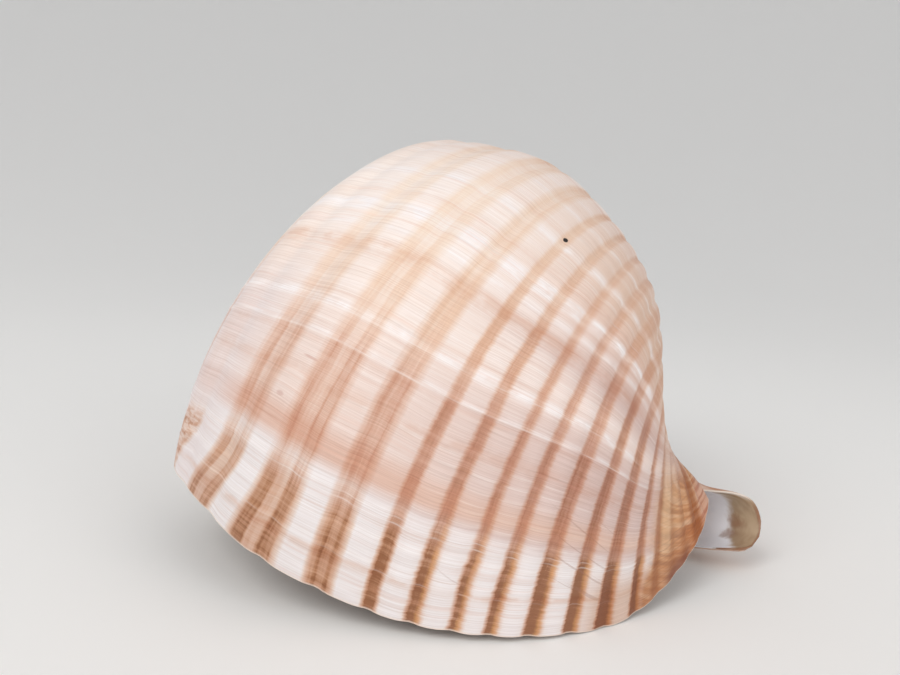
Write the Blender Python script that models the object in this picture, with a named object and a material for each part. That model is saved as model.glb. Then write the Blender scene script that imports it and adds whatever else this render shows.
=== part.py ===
import math
import bmesh
import bpy
import numpy as np
from mathutils import Matrix, Vector

NODE = "tun_shell"

# Real sizes in millimetres, measured from the shell's own apex
GROWTH_PER_TURN = 2.62
WALL = 2.0
LIP_WALL = 1.5
RIB_DEPTH = 0.8

# Generating curve of the last whorl at the lip: distance from the axis and height, suture first
PROFILE = [(37.4, -29.5), (44.2, -22.9), (56.2, -18.9), (71.3, -26.9), (86.4, -36.5), (94.0, -54.9),
           (98.1, -79.2), (93.8, -99.9), (86.0, -119.8), (72.9, -138.8), (54.7, -151.1), (39.6, -158.3),
           (29.2, -167.2), (24.8, -179.2)]
PROFILE_AT = [0.0, 0.04, 0.092, 0.163, 0.243, 0.331, 0.439, 0.533, 0.6265, 0.726, 0.82, 0.8905, 0.948, 1.0]
# Angle of the lip edge ahead of the reference half plane, degrees, along the curve
LIP_AT = [0.0, 0.1, 0.2, 0.3, 0.4, 0.6, 0.7, 0.78, 0.82, 0.86, 0.9, 0.93, 0.96, 1.0]
LIP_ANGLE = [15.0, 14.8, 11.6, 7.3, 3.8, 0.7, -2.5, -5.0, -6.2, -9.5, -17.5, -28.0, -43.7, -74.4]
# Grooves between the ribs, as fractions of the curve, with their half widths
GROOVES = [(0.075, 0.014), (0.125, 0.015), (0.18, 0.016), (0.24, 0.017), (0.300, 0.018), (0.365, 0.018),
           (0.455, 0.016), (0.520, 0.013), (0.575, 0.012), (0.617, 0.011), (0.655, 0.011), (0.690, 0.011),
           (0.727, 0.011), (0.770, 0.011), (0.810, 0.011), (0.852, 0.010), (0.885, 0.009), (0.912, 0.008),
           (0.936, 0.007), (0.958, 0.006), (0.978, 0.005)]

K = math.log(GROWTH_PER_TURN) / (2 * math.pi)
TURN = 2 * math.pi


def spline(x, y):
    """Natural cubic spline through the points, as a function."""
    x = np.asarray(x, float)
    y = np.asarray(y, float).reshape(len(x), -1)
    n = len(x)
    h = np.diff(x)
    a = np.eye(n)
    b = np.zeros_like(y)
    for i in range(1, n - 1):
        a[i, i - 1:i + 2] = h[i - 1], 2 * (h[i - 1] + h[i]), h[i]
        b[i] = 6 * ((y[i + 1] - y[i]) / h[i] - (y[i] - y[i - 1]) / h[i - 1])
    m = np.linalg.solve(a, b)

    def at(t):
        t = np.asarray(t, float)
        i = np.clip(np.searchsorted(x, t) - 1, 0, n - 2)
        u = (t - x[i])[..., None]
        v = (x[i + 1] - t)[..., None]
        hh = h[i][..., None]
        return (m[i] * v ** 3 + m[i + 1] * u ** 3) / (6 * hh) + (y[i] / hh - m[i] * hh / 6) * v \
            + (y[i + 1] / hh - m[i + 1] * hh / 6) * u
    return at


curve = spline(PROFILE_AT, PROFILE)
lip_curve = spline(LIP_AT, LIP_ANGLE)


def normal(t):
    d = curve(np.clip(t + 0.002, 0, 1)) - curve(np.clip(t - 0.002, 0, 1))
    n = np.stack([-d[..., 1], d[..., 0]], -1)
    return n / np.linalg.norm(n, axis=-1, keepdims=True)


def ribs(t):
    t = np.asarray(t, float)
    depth = np.zeros_like(t)
    for centre, half in GROOVES:
        depth = np.maximum(depth, np.exp(-((t - centre) / (0.7 * half)) ** 2))
    return -RIB_DEPTH * depth


def section(t, theta, offset):
    """A point of the generating curve, moved out along its normal; past 1 it closes the whorl's base."""
    inside = np.minimum(t, 1.0)
    past = (np.maximum(t, 1.0) - 1.0)[..., None] / 0.09
    full = np.clip((-2.75 - theta) / 0.6, 0, 1)[..., None]
    n = normal(inside)
    base = np.array([0.17, -0.98])
    n = np.where(past > 0, (1 - full) * n + full * base, n)
    n = n / np.linalg.norm(n, axis=-1, keepdims=True)
    return curve(inside) + past * full * np.array([-11.6, -1.8]) + n * offset[..., None]


def lip_lead(t, theta):
    fade = np.clip((theta + 1.7 * math.pi) / (1.6 * math.pi), 0, 1)
    return np.radians(lip_curve(np.clip(t, 0, 1))[..., 0]) * fade * fade * (3 - 2 * fade)


def place(r, z, theta):
    s = np.exp(K * theta)
    return np.stack([s * r * np.cos(theta), -s * r * np.sin(theta), s * z], -1)


def thickness(t, theta):
    """Wall thickness in the scale of the whorl: thin at the lip, stouter toward the canal."""
    s = np.exp(K * theta)
    edge = np.clip(-theta / 0.5, 0, 1)
    canal = 1 + 0.5 * np.clip((t - 0.7) / 0.15, 0, 1) * np.clip((1.0 - t) / 0.08, 0, 1) * edge
    return (LIP_WALL + (WALL - LIP_WALL) * edge) * canal * np.sqrt(s) / s


class Shape:
    def __init__(self):
        self.verts = []
        self.faces = []

    def grid(self, pts):
        rows, cols = pts.shape[:2]
        base = len(self.verts)
        self.verts += [tuple(p) for p in pts.reshape(-1, 3)]
        return base + np.arange(rows * cols).reshape(rows, cols)

    def sheet(self, ids, flip=False):
        for i in range(ids.shape[0] - 1):
            for j in range(ids.shape[1] - 1):
                q = [ids[i, j], ids[i, j + 1], ids[i + 1, j + 1], ids[i + 1, j]]
                self.faces.append(q[::-1] if flip else q)

    def zipper(self, a, b, flip=False):
        """Triangles between two chains of vertices that start and end side by side."""
        va = np.array([self.verts[i] for i in a])
        vb = np.array([self.verts[i] for i in b])
        ua = np.r_[0, np.cumsum(np.linalg.norm(np.diff(va, axis=0), axis=1))]
        ub = np.r_[0, np.cumsum(np.linalg.norm(np.diff(vb, axis=0), axis=1))]
        ua /= ua[-1]
        ub /= ub[-1]
        i = j = 0
        while i < len(a) - 1 or j < len(b) - 1:
            if j == len(b) - 1 or (i < len(a) - 1 and ua[i + 1] <= ub[j + 1]):
                f = [a[i], a[i + 1], b[j]]
                i += 1
            else:
                f = [a[i], b[j + 1], b[j]]
                j += 1
            self.faces.append(f[::-1] if flip else f)

    def object(self, name):
        mesh = bpy.data.meshes.new(name)
        mesh.from_pydata([Vector(v) for v in self.verts], [], [[int(i) for i in f] for f in self.faces])
        mesh.update()
        obj = bpy.data.objects.new(name, mesh)
        bpy.context.scene.collection.objects.link(obj)
        bm = bmesh.new()
        bm.from_mesh(mesh)
        bmesh.ops.remove_doubles(bm, verts=bm.verts, dist=0.01)
        bmesh.ops.recalc_face_normals(bm, faces=bm.faces)
        bm.to_mesh(mesh)
        bm.free()
        return obj


OUTER = np.array([0.0, 0.035] + [c + h for c, half in GROOVES[:17] for h in (-half, 0.0, half)]
                 + [0.903, 0.912, 0.924, 0.936, 0.947, 0.958, 0.968, 0.978, 1.0, 1.04, 1.09])
INNER = np.array([0.0, 0.05, 0.1, 0.16, 0.22, 0.28, 0.34, 0.4, 0.46, 0.52, 0.58, 0.63, 0.68, 0.73, 0.77,
                  0.81, 0.845, 0.875, 0.9, 0.92, 0.94, 0.96, 0.98, 1.0, 1.04, 1.09])
INNER_FEW = np.array([0.0, 0.06, 0.14, 0.22, 0.3, 0.4, 0.5, 0.6, 0.7, 0.78, 0.84, 0.9, 0.95, 1.0, 1.09])


def wall():
    """The coiled wall: an outer and an inner sheet, closed at the lip, the canal and the start."""
    s = Shape()
    start = -4.2 * math.pi
    early = np.linspace(start, -TURN - 0.2, 17)
    late = np.linspace(-TURN, 0, 29)
    behind = np.r_[np.linspace(-TURN, -0.25, 23), -0.1]
    few = np.r_[OUTER[OUTER < 0.47], 0.5, 0.56, 0.63, 0.7, 0.77, 0.84, 0.9, 0.95, 1.0, 1.09]
    sheets = []
    for theta, cols, side in ((early, few, 1), (late, OUTER, 1), (early, INNER_FEW, -1), (behind, INNER, -1)):
        tt, th = np.meshgrid(cols, theta)
        if side > 0:
            p = section(tt, th, ribs(tt))
            p[:, 0] = PROFILE[0] + np.array([-0.7, 0.0])
        else:
            w = thickness(tt, th)
            p = section(tt, th, -w)
            p[:, 0, 0] = PROFILE[0][0] - 0.7
            p[:, 0, 1] = PROFILE[0][1] - 1.5 * w[:, 0]
        sheets.append(s.grid(place(p[..., 0], p[..., 1], th + lip_lead(tt, th))))
    outer_early, outer, inner_early, inner = sheets
    lip = section(OUTER, 0.0 * OUTER, 0.0 * OUTER - LIP_WALL)
    lip[0] = PROFILE[0] + np.array([-0.7, -1.5 * LIP_WALL])
    edge = s.grid(place(lip[:, 0], lip[:, 1], lip_lead(OUTER, 0.0 * OUTER))[None])[0]
    s.sheet(outer_early)
    s.sheet(outer)
    s.zipper(outer_early[-1], outer[0])
    s.sheet(inner_early, True)
    s.sheet(inner, True)
    s.zipper(inner_early[-1], inner[0], True)
    s.zipper(inner[-1], edge, True)
    s.sheet(np.array([outer[-1], edge]))
    s.zipper(outer_early[0], inner_early[0], True)
    for end in (0, -1):
        a = np.r_[outer_early[:, end], outer[:, end]]
        b = np.r_[inner_early[:, end], inner[:, end], edge[end]]
        s.zipper(a, b, end == -1)
    return s.object("wall")


def nucleus():
    """The first whorls, solid, down to the apex."""
    s = Shape()
    theta = np.linspace(-8.2 * math.pi, -4.1 * math.pi, 27)
    t = np.array([0.0, 0.05, 0.1, 0.17, 0.25, 0.33, 0.41, 0.5, 0.65, 0.85, 1.0])
    p = curve(t) - normal(t) * 1.6
    p = np.vstack([p, [[1.2, -155.0], [1.2, -30.0]]])
    p[0, 0] -= 0.7
    n = len(p)
    rr = np.broadcast_to(p[:, 0], (len(theta), n))
    zz = np.broadcast_to(p[:, 1], (len(theta), n))
    th = np.broadcast_to(theta[:, None], (len(theta), n))
    ids = s.grid(place(rr, zz, th))
    ring = np.concatenate([ids, ids[:, :1]], 1)
    s.sheet(ring)
    s.faces.append([int(i) for i in ids[0][::-1]])
    s.faces.append([int(i) for i in ids[-1]])
    return s.object("nucleus")


def pillar():
    """The columella: a twisted cone on the axis that closes the inner side of every whorl."""
    s = Shape()
    #       z, radius, shift of the centre
    rows = [(z, 0.06 * abs(z) + 1.6, 0.0) for z in (-5.0, -15.0, -30.0, -48.0, -66.0)]
    rows += [(-84.0, 7.8, 0.0), (-98.0, 9.8, 0.2), (-110.0, 10.9, 1.0), (-120.0, 10.6, 2.4), (-128.0, 9.2, 4.2),
             (-134.0, 7.2, 6.2), (-139.0, 5.0, 7.6), (-143.0, 2.4, 8.4)]
    n = 14
    a = (np.arange(n) + 0.37) * TURN / n
    pts = []
    for z, r, cy in rows:
        rad = r * (1 + 0.06 * np.cos(2 * (a + z / 26.0)))
        pts.append(np.stack([rad * np.cos(a), cy + rad * np.sin(a), np.full(n, z)], -1))
    ids = s.grid(np.array(pts))
    ring = np.concatenate([ids, ids[:, :1]], 1)
    s.sheet(ring)
    s.faces.append([int(i) for i in ids[0][::-1]])
    s.faces.append([int(i) for i in ids[-1]])
    return s.object("pillar")


def spout():
    """The far wall of the siphonal canal, a curled strip that ends in a free tongue."""
    s = Shape()
    #       z, centre y, radius, first angle, last angle
    rows = [(-97.0, 0.3, 8.0, 60, 300),
            (-105.0, 1.2, 11.6, 60, 300),
            (-111.0, 2.2, 13.2, 60, 300),
            (-118.0, 4.5, 14.0, 60, 300),
            (-126.0, 5.0, 13.0, 60, 300),
            (-133.0, 5.8, 11.8, 62, 301),
            (-139.0, 6.8, 10.7, 70, 302),
            (-143.5, 8.2, 10.0, 94, 302),
            (-147.0, 10.2, 9.7, 110, 302),
            (-151.0, 12.9, 9.5, 128, 302),
            (-155.0, 15.5, 9.2, 153, 302),
            (-158.5, 17.8, 8.9, 187, 300),
            (-160.5, 19.1, 8.8, 214, 286),
            (-161.5, 19.8, 8.7, 236, 266)]
    n = 13
    out, inn = [], []
    for z, cy, r, a0, a1 in rows:
        a = np.radians(np.linspace(a0, a1, n))
        thick = 1.8 - 0.5 * min(max((-140.0 - z) / 14.0, 0.0), 1.0)
        for keep, rad in ((out, r), (inn, r - thick)):
            keep.append(np.stack([rad * np.cos(a), cy + rad * np.sin(a), np.full(n, z)], -1))
    o = s.grid(np.array(out))
    i = s.grid(np.array(inn))
    s.sheet(o)
    s.sheet(i, True)
    s.zipper(o[0], i[0], True)
    s.zipper(o[-1], i[-1])
    s.zipper(o[:, 0], i[:, 0])
    s.zipper(o[:, -1], i[:, -1], True)
    return s.object("spout")


def union(target, others, overlaps_itself=False):
    mod = target.modifiers.new("join", 'BOOLEAN')
    mod.operation = 'UNION'
    mod.solver = 'EXACT'
    mod.use_self = overlaps_itself
    mod.object = others
    dg = bpy.context.evaluated_depsgraph_get()
    mesh = bpy.data.meshes.new_from_object(target.evaluated_get(dg))
    target.modifiers.clear()
    bm = bmesh.new()
    bm.from_mesh(mesh)
    bmesh.ops.remove_doubles(bm, verts=bm.verts, dist=0.02)
    bmesh.ops.dissolve_degenerate(bm, edges=bm.edges, dist=0.02)
    bm.to_mesh(mesh)
    bm.free()
    old = target.data
    target.data = mesh
    bpy.data.meshes.remove(old)
    bpy.data.objects.remove(others)


def drop_crumbs(bm):
    """Deletes everything that doesn't hang on to the largest group of faces edge to edge."""
    left = set(bm.faces)
    groups = []
    while left:
        group = {left.pop()}
        todo = list(group)
        while todo:
            face = todo.pop()
            near = {f for e in face.edges for f in e.link_faces if f in left}
            left -= near
            group |= near
            todo += list(near)
        groups.append(group)
    groups.sort(key=len)
    small = [f for g in groups[:-1] for f in g]
    bmesh.ops.delete(bm, geom=small, context='FACES')


for obj in list(bpy.data.objects):
    bpy.data.objects.remove(obj)

shell = wall()
union(shell, pillar(), True)
union(shell, nucleus(), True)
union(shell, spout())

# Resting pose: the rotation that lays the shell down on its lip, with the front toward -Y
TILT = Vector((0.2484, 0.3685, -0.6093))
lay = Matrix(((0, 0, -1), (-1, 0, 0), (0, 1, 0)))
turn = Matrix.Rotation(TILT.length, 3, TILT.normalized())
pose = (turn @ lay).to_4x4()
bm = bmesh.new()
bm.from_mesh(shell.data)
drop_crumbs(bm)
bmesh.ops.transform(bm, matrix=pose, verts=bm.verts)
bmesh.ops.scale(bm, vec=(0.001, 0.001, 0.001), verts=bm.verts)
bmesh.ops.triangulate(bm, faces=bm.faces)
low = Vector([min(v.co[i] for v in bm.verts) for i in range(3)])
high = Vector([max(v.co[i] for v in bm.verts) for i in range(3)])
move = Vector((-(low.x + high.x) / 2, -(low.y + high.y) / 2, -low.z))
bmesh.ops.translate(bm, vec=move, verts=bm.verts)
bm.to_mesh(shell.data)
bm.free()
shell.name = NODE
shell.data.name = NODE

mat = bpy.data.materials.new("shell")
mat.use_nodes = True
bsdf = next(n for n in mat.node_tree.nodes if n.type == 'BSDF_PRINCIPLED')
bsdf.inputs["Base Color"].default_value = (0.78, 0.58, 0.44, 1.0)
bsdf.inputs["Roughness"].default_value = 0.35
shell.data.materials.clear()
shell.data.materials.append(mat)
print("triangles", len(shell.data.polygons))
print("size", [round(x, 4) for x in (high - low)])
print("move", [round(x, 5) for x in move])
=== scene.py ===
import math
import bpy
import bmesh
import numpy as np
from mathutils import Matrix, Vector


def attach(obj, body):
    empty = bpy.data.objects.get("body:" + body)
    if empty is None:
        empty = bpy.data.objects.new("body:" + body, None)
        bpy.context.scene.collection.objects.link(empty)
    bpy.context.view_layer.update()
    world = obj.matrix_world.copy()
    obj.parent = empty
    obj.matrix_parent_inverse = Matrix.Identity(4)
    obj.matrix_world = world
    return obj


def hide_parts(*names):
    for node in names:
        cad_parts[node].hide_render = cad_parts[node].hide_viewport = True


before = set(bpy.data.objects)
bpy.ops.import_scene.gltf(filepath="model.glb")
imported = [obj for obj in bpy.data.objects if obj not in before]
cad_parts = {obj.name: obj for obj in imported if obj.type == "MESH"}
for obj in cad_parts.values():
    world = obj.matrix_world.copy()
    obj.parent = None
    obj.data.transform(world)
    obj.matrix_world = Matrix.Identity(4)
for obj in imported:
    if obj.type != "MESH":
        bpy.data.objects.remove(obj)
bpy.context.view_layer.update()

fullTurn = 2 * math.pi


photoCamera = {
    "place": (-0.00856, -0.24177, 0.08651),     # metres, in the row frame
    "turn": (82.196, -2.68, 0.083),             # degrees
    "lens": 32.36,
    "sensor": 36,
    "near": 0.01,
}
studio = {
    "paperColour": (0.90, 0.89, 0.875, 1.0),
    "paperRough": 0.8,
    "paperShine": 0.2,
    "paperFlat": 0.6,           # radius of the level part, metres
    "paperBend": 2.4,           # radius of the bend up
    "paperHeight": 2.8,
    "paperDrop": 0.0002,        # how far it lies under the shell
    "skyColour": (0.95, 0.97, 1.0, 1.0),
    "skyStrength": 0.60,
    # place, size, power, colour
    "windowLight": ((-0.75, -0.85, 1.15), 1.1, 9.4, (1.0, 0.985, 0.96)),
    "fillLight": ((0.9, -0.9, 0.6), 1.0, 4.3, (1.0, 0.97, 0.94)),
    "lightsAimAt": (0, 0, 0.05),
}


def makeCamera():
    data = bpy.data.cameras.new("photoCamera")
    camera = bpy.data.objects.new("photoCamera", data)
    bpy.context.scene.collection.objects.link(camera)
    camera.location = photoCamera["place"]
    camera.rotation_euler = [math.radians(a) for a in photoCamera["turn"]]
    data.lens = photoCamera["lens"]
    data.sensor_width = photoCamera["sensor"]
    data.clip_start = photoCamera["near"]
    bpy.context.scene.camera = camera


def softLight(name):
    place, size, power, colour = studio[name]
    data = bpy.data.lights.new(name, 'AREA')
    data.shape = 'DISK'
    data.size = size
    data.energy = power
    data.color = colour
    lamp = bpy.data.objects.new(name, data)
    bpy.context.scene.collection.objects.link(lamp)
    lamp.location = place
    aim = Vector(studio["lightsAimAt"]) - Vector(place)
    lamp.rotation_euler = aim.to_track_quat('-Z', 'Y').to_euler()


def paperProfile():
    # distance from the middle and height: level, a round bend, then straight up
    flat, bend, top = studio["paperFlat"], studio["paperBend"], studio["paperHeight"]
    turn = np.linspace(0, math.pi / 2, 14)
    side = [(flat + bend * math.sin(a), bend - bend * math.cos(a)) for a in turn]
    return [(0.0, 0.0), (flat * 0.5, 0.0)] + side + [(flat + bend, top)]


def makeStudio():
    # one sheet of pale paper that bends up all round, so no edge shows behind the shell
    line = paperProfile()
    mesh = bpy.data.meshes.new("paper")
    mesh.from_pydata([(r, 0.0, z - studio["paperDrop"]) for r, z in line],
                     [(i, i + 1) for i in range(len(line) - 1)], [])
    paper = bpy.data.objects.new("paper", mesh)
    bpy.context.scene.collection.objects.link(paper)
    bpy.ops.object.select_all(action='DESELECT')
    bpy.context.view_layer.objects.active = paper
    paper.select_set(True)
    spin = paper.modifiers.new("spin", 'SCREW')
    spin.steps = spin.render_steps = 96
    spin.use_merge_vertices = True
    spin.merge_threshold = 0.0005
    bpy.ops.object.modifier_apply(modifier=spin.name)
    bpy.ops.object.mode_set(mode='EDIT')
    bpy.ops.mesh.select_all(action='SELECT')
    bpy.ops.mesh.normals_make_consistent(inside=True)
    bpy.ops.object.mode_set(mode='OBJECT')
    bpy.ops.object.shade_smooth()
    finish = bpy.data.materials.new("palePaper")
    finish.use_nodes = True
    shader = finish.node_tree.nodes["Principled BSDF"]
    shader.inputs["Base Color"].default_value = studio["paperColour"]
    shader.inputs["Roughness"].default_value = studio["paperRough"]
    shader.inputs["Specular IOR Level"].default_value = studio["paperShine"]
    paper.data.materials.append(finish)
    world = bpy.data.worlds.new("softRoom")
    world.use_nodes = True
    sky = world.node_tree.nodes["Background"]
    sky.inputs["Color"].default_value = studio["skyColour"]
    sky.inputs["Strength"].default_value = studio["skyStrength"]
    bpy.context.scene.world = world
    softLight("windowLight")
    softLight("fillLight")
    bpy.context.scene.view_settings.view_transform = 'Standard'


makeCamera()
makeStudio()
print("camera and studio ready")


# Lengths in millimetres from the apex. The angle v runs along the growth in radians, 0 at the lip and less
# before it; t runs across the whorl, from 0 at the suture to 1 at the base.
shellForm = {
    "growthPerTurn": 2.62,
    "wall": 2.0,
    "lipWall": 1.5,
    "lipThinning": 0.5,         # over this angle the wall thins to the lip
    "canalWall": 0.5,           # how much thicker the wall is toward the canal
    "canalWallFrom": (0.7, 0.15), "canalWallTo": (1.0, 0.08),       # place across the whorl, over how far
    "ribDepth": 0.8,
    # the whorl at the lip: distance from the axis and height, and the place t of each point
    "curveAcross": [(37.4, -29.5), (44.2, -22.9), (56.2, -18.9), (71.3, -26.9), (86.4, -36.5), (94.0, -54.9),
                    (98.1, -79.2), (93.8, -99.9), (86.0, -119.8), (72.9, -138.8), (54.7, -151.1),
                    (39.6, -158.3), (29.2, -167.2), (24.8, -179.2)],
    "curveAt": [0.0, 0.04, 0.092, 0.163, 0.243, 0.331, 0.439, 0.533, 0.6265, 0.726, 0.82, 0.8905,
                0.948, 1.0],
    # how far the lip edge leads at each place, degrees
    "lipAt": [0.0, 0.1, 0.2, 0.3, 0.4, 0.6, 0.7, 0.78, 0.82, 0.86, 0.9, 0.93, 0.96, 1.0],
    "lipAngle": [15.0, 14.8, 11.6, 7.3, 3.8, 0.7, -2.5, -5.0, -6.2, -9.5, -17.5, -28.0, -43.7, -74.4],
    "leadFrom": -1.7 * math.pi, "leadOver": 1.6 * math.pi,      # where along the growth the lead sets in
    "tuck": 0.7,                # how far the upper edge runs in under the whorl above
    "tuckWall": 1.5,            # the wall there, times the wall elsewhere
    # past its end the curve runs on and closes the whorl's base, from this angle back
    "pastEnd": [1.04, 1.09], "baseReach": 0.09, "baseRun": (-11.6, -1.8), "baseNormal": (0.17, -0.98),
    "baseFrom": -2.75, "baseOver": 0.6,
    # centre and half width of each groove, as parts of the curve
    "grooves": [(0.075, 0.014), (0.125, 0.015), (0.18, 0.016), (0.24, 0.017), (0.300, 0.018),
                (0.365, 0.018), (0.455, 0.016), (0.520, 0.013), (0.575, 0.012), (0.617, 0.011),
                (0.655, 0.011), (0.690, 0.011), (0.727, 0.011), (0.770, 0.011), (0.810, 0.011),
                (0.852, 0.010), (0.885, 0.009), (0.912, 0.008), (0.936, 0.007), (0.958, 0.006),
                (0.978, 0.005)],
    "grooveEase": 0.7,          # the groove's round profile is this much of the half width
    "scallop": 0.002, "scallopOver": 0.1,       # how far the lip draws back at a groove, radians
    "lipLevel": 0.6, "levelOver": 0.12,         # how much of the rib relief is gone at the lip
    # growth rests: angle before the lip, lean across the curve, height in mm, half width
    "rests": [(-0.222, 0.04, 0.22, 0.006), (-0.238, 0.04, 0.16, 0.005), (-0.553, -0.08, 0.22, 0.007),
              (-0.632, -0.10, 0.15, 0.006), (-0.10, 0.03, 0.10, 0.005), (-1.05, -0.05, 0.12, 0.010),
              (-1.62, -0.05, 0.22, 0.012), (-2.45, 0.0, 0.24, 0.013), (-3.4, 0.0, 0.24, 0.014),
              (-4.5, 0.0, 0.20, 0.014)],
    "restsMeet": 0.6,           # place across the whorl where a rest lies at its angle
    "restsEnd": (0.97, 0.1),    # place across the whorl where they end, over how far they fade
    "tilt": (0.2484, 0.3685, -0.6093),              # resting pose, a turn about this axis by its length
    "restOffset": (-0.05097, 0.04868, 0.06147),     # metres
    "smoothUnder": 40,          # degrees between faces
    "mergeUnder": 0.01,         # points nearer than this become one
}
growth = math.log(shellForm["growthPerTurn"]) / fullTurn


def smoothCurve(x, y):
    # natural cubic spline through the points
    x = np.asarray(x, float)
    y = np.asarray(y, float).reshape(len(x), -1)
    n = len(x)
    h = np.diff(x)
    a = np.eye(n)
    b = np.zeros_like(y)
    for i in range(1, n - 1):
        a[i, i - 1:i + 2] = h[i - 1], 2 * (h[i - 1] + h[i]), h[i]
        b[i] = 6 * ((y[i + 1] - y[i]) / h[i] - (y[i] - y[i - 1]) / h[i - 1])
    m = np.linalg.solve(a, b)

    def at(t):
        t = np.asarray(t, float)
        i = np.clip(np.searchsorted(x, t) - 1, 0, n - 2)
        u, v, hh = (t - x[i])[..., None], (x[i + 1] - t)[..., None], h[i][..., None]
        return ((m[i] * v ** 3 + m[i + 1] * u ** 3) / (6 * hh) + (y[i] / hh - m[i] * hh / 6) * v
                + (y[i + 1] / hh - m[i + 1] * hh / 6) * u)
    return at


curveAcross = smoothCurve(shellForm["curveAt"], shellForm["curveAcross"])
lipCurve = smoothCurve(shellForm["lipAt"], shellForm["lipAngle"])


def curveNormal(t):
    step = 0.002
    d = curveAcross(np.clip(t + step, 0, 1)) - curveAcross(np.clip(t - step, 0, 1))
    n = np.stack([-d[..., 1], d[..., 0]], -1)
    return n / np.linalg.norm(n, axis=-1, keepdims=True)


def grooveAt(t):
    # 1 in the middle of a groove, 0 on a rib
    g = np.zeros_like(t)
    for centre, half in shellForm["grooves"]:
        g = np.maximum(g, np.exp(-((t - centre) / (shellForm["grooveEase"] * half)) ** 2))
    return g


def restHeight(t, v):
    h = np.zeros_like(t)
    for angle, lean, height, half in shellForm["rests"]:
        h += height * np.exp(-((v - angle - lean * (t - shellForm["restsMeet"])) / half) ** 2)
    end, fade = shellForm["restsEnd"]
    return h * np.clip((end - t) / fade, 0, 1)


def acrossAt(t, v, offset):
    # past 1 the curve runs on toward the axis and closes the whorl's base
    inside = np.minimum(t, 1.0)
    past = (np.maximum(t, 1.0) - 1.0)[..., None] / shellForm["baseReach"]
    full = np.clip((shellForm["baseFrom"] - v) / shellForm["baseOver"], 0, 1)[..., None]
    n = curveNormal(inside)
    n = np.where(past > 0, (1 - full) * n + full * np.array(shellForm["baseNormal"]), n)
    n = n / np.linalg.norm(n, axis=-1, keepdims=True)
    return curveAcross(inside) + past * full * np.array(shellForm["baseRun"]) + n * offset[..., None]


def lipLead(t, v):
    fade = np.clip((v - shellForm["leadFrom"]) / shellForm["leadOver"], 0, 1)
    lead = np.radians(lipCurve(np.clip(t, 0, 1))[..., 0]) * fade * fade * (3 - 2 * fade)
    return lead - shellForm["scallop"] * grooveAt(t) * np.clip(1 + v / shellForm["scallopOver"], 0, 1)


def coil(r, z, theta):
    s = np.exp(growth * theta)
    return np.stack([s * r * np.cos(theta), -s * r * np.sin(theta), s * z], -1)


def wallAt(t, v):
    s = np.exp(growth * v)
    edge = np.clip(-v / shellForm["lipThinning"], 0, 1)
    (first, comesIn), (last, goesOut) = shellForm["canalWallFrom"], shellForm["canalWallTo"]
    thicker = np.clip((t - first) / comesIn, 0, 1) * np.clip((last - t) / goesOut, 0, 1)
    canal = 1 + shellForm["canalWall"] * thicker * edge
    thin = shellForm["lipWall"]
    return (thin + (shellForm["wall"] - thin) * edge) * canal * np.sqrt(s) / s


class Sheets:
    # grids of points that share one mesh, each point with its place t, v in the pattern
    def __init__(self):
        self.points = []
        self.pattern = []
        self.faces = []
        self.slots = []
        self.count = 0

    def grid(self, points, t, v):
        shape = points.shape[:2]
        self.points.append(points.reshape(-1, 3))
        place = np.stack([np.broadcast_to(t, shape), np.broadcast_to(v, shape)], -1)
        self.pattern.append(place.reshape(-1, 2))
        ids = self.count + np.arange(shape[0] * shape[1]).reshape(shape)
        self.count += shape[0] * shape[1]
        return ids

    def addFaces(self, faces, slot, flip=False):
        for f in faces:
            f = [int(i) for i in f]
            self.faces.append(f[::-1] if flip else f)
            self.slots.append(slot)

    def skin(self, ids, slot, flip=False):
        quads = np.stack([ids[:-1, :-1], ids[:-1, 1:], ids[1:, 1:], ids[1:, :-1]], -1).reshape(-1, 4)
        self.addFaces(quads, slot, flip)

    def zip(self, a, b, slot, flip=False):
        # triangles between two chains of points that start and end side by side
        every = np.concatenate(self.points)
        ua = np.r_[0, np.cumsum(np.linalg.norm(np.diff(every[a], axis=0), axis=1))]
        ub = np.r_[0, np.cumsum(np.linalg.norm(np.diff(every[b], axis=0), axis=1))]
        ua, ub = ua / ua[-1], ub / ub[-1]
        i = j = 0
        faces = []
        while i < len(a) - 1 or j < len(b) - 1:
            if j == len(b) - 1 or (i < len(a) - 1 and ua[i + 1] <= ub[j + 1]):
                faces.append([a[i], a[i + 1], b[j]])
                i += 1
            else:
                faces.append([a[i], b[j + 1], b[j]])
                j += 1
        self.addFaces(faces, slot, flip)

    def build(self, name):
        mesh = bpy.data.meshes.new(name)
        mesh.from_pydata(np.concatenate(self.points).tolist(), [], self.faces)
        mesh.polygons.foreach_set("material_index", self.slots)
        layer = mesh.uv_layers.new(name="growth")
        corner = np.zeros(len(mesh.loops), int)
        mesh.loops.foreach_get("vertex_index", corner)
        layer.data.foreach_set("uv", np.concatenate(self.pattern)[corner].ravel())
        for finish in finishes:
            mesh.materials.append(finish)
        obj = bpy.data.objects.new(name, mesh)
        bpy.context.scene.collection.objects.link(obj)
        bm = bmesh.new()
        bm.from_mesh(mesh)
        bmesh.ops.remove_doubles(bm, verts=bm.verts, dist=shellForm["mergeUnder"])
        bmesh.ops.recalc_face_normals(bm, faces=bm.faces)
        bm.to_mesh(mesh)
        bm.free()
        return obj


# places of the finishes in the list that the mesh takes
outsideSlot, insideSlot, channelSlot, channelBackSlot = 0, 1, 2, 3


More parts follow.
